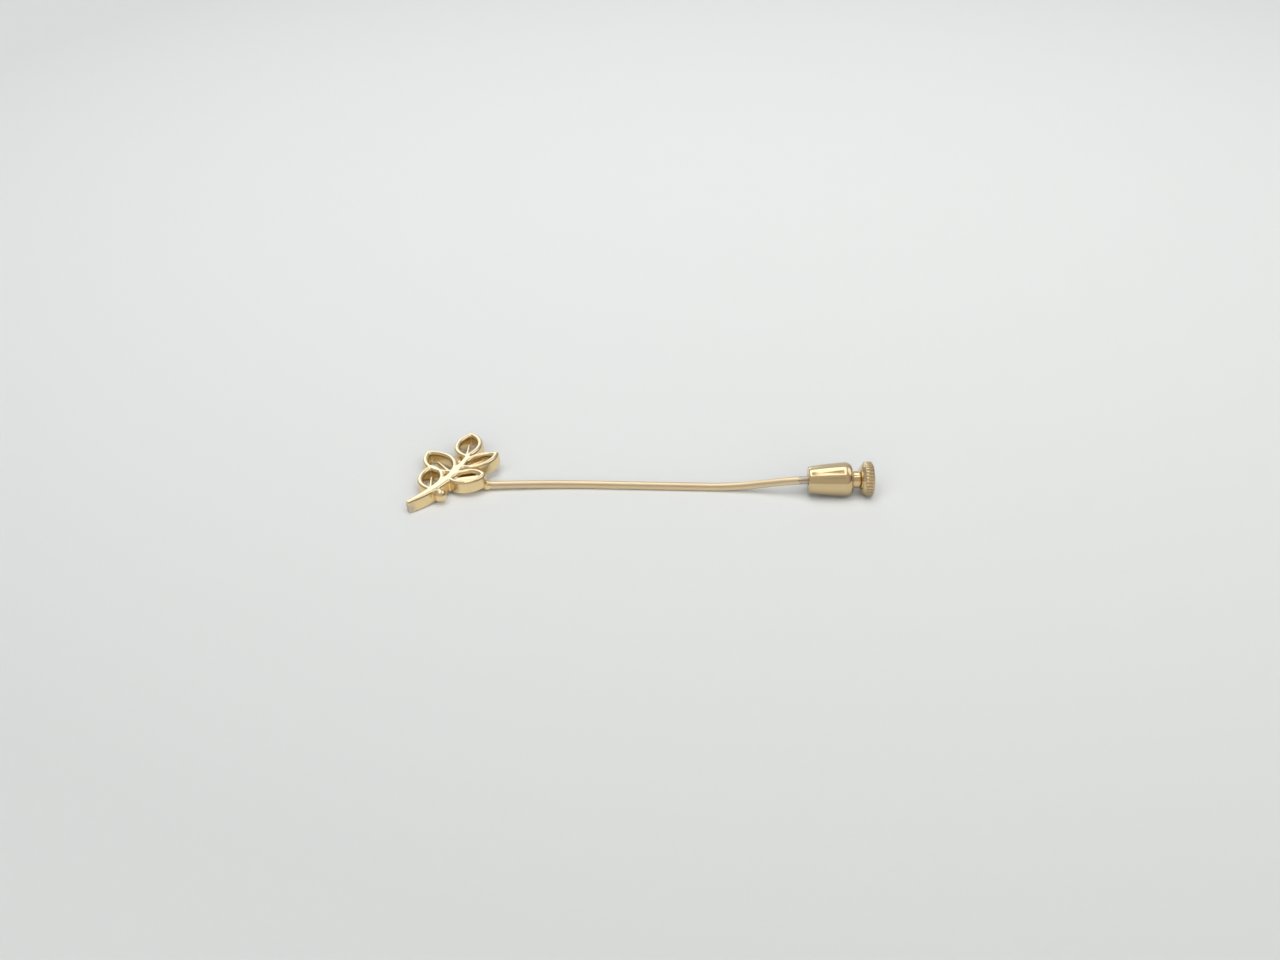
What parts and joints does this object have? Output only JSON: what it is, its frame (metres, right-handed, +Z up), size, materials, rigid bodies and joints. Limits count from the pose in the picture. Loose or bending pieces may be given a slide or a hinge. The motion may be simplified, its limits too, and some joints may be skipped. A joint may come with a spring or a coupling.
{
  "type": "stick pin brooch",
  "caption": "Stick pin brooch: an openwork leaf spray soldered to a long needle, with a sliding barrel clutch and a knurled pull knob over the point.",
  "frame": {"origin": "middle of the footprint on the surface that the pin lies on", "axes": "+X from the leaf spray to the clutch's knob, +Y away from the viewer, +Z up off the surface"},
  "size_m": [0.0652, 0.0192, 0.005],
  "materials": {
    "pin_gold": "gold plated, polished, worn to grey at the tips",
    "clutch_gold": "gold plated, polished"
  },
  "bodies": {
    "pin": {"pin": "pin_gold"},
    "clutch": {"clutch_barrel": "clutch_gold"},
    "knob": {"clutch_knob": "clutch_gold"}
  },
  "joints": [
    {"name": "clutch_slide", "type": "slide", "parent": "pin", "child": "clutch", "axis": [0.9997, 0.0209, 0.0087], "range_m": [0, 0.012]},
    {"name": "knob_pull", "type": "slide", "parent": "clutch", "child": "knob", "axis": [0.9997, 0.0209, 0.0087], "range_m": [0, 0.0012], "stiffness_N_per_m": 400}
  ]
}
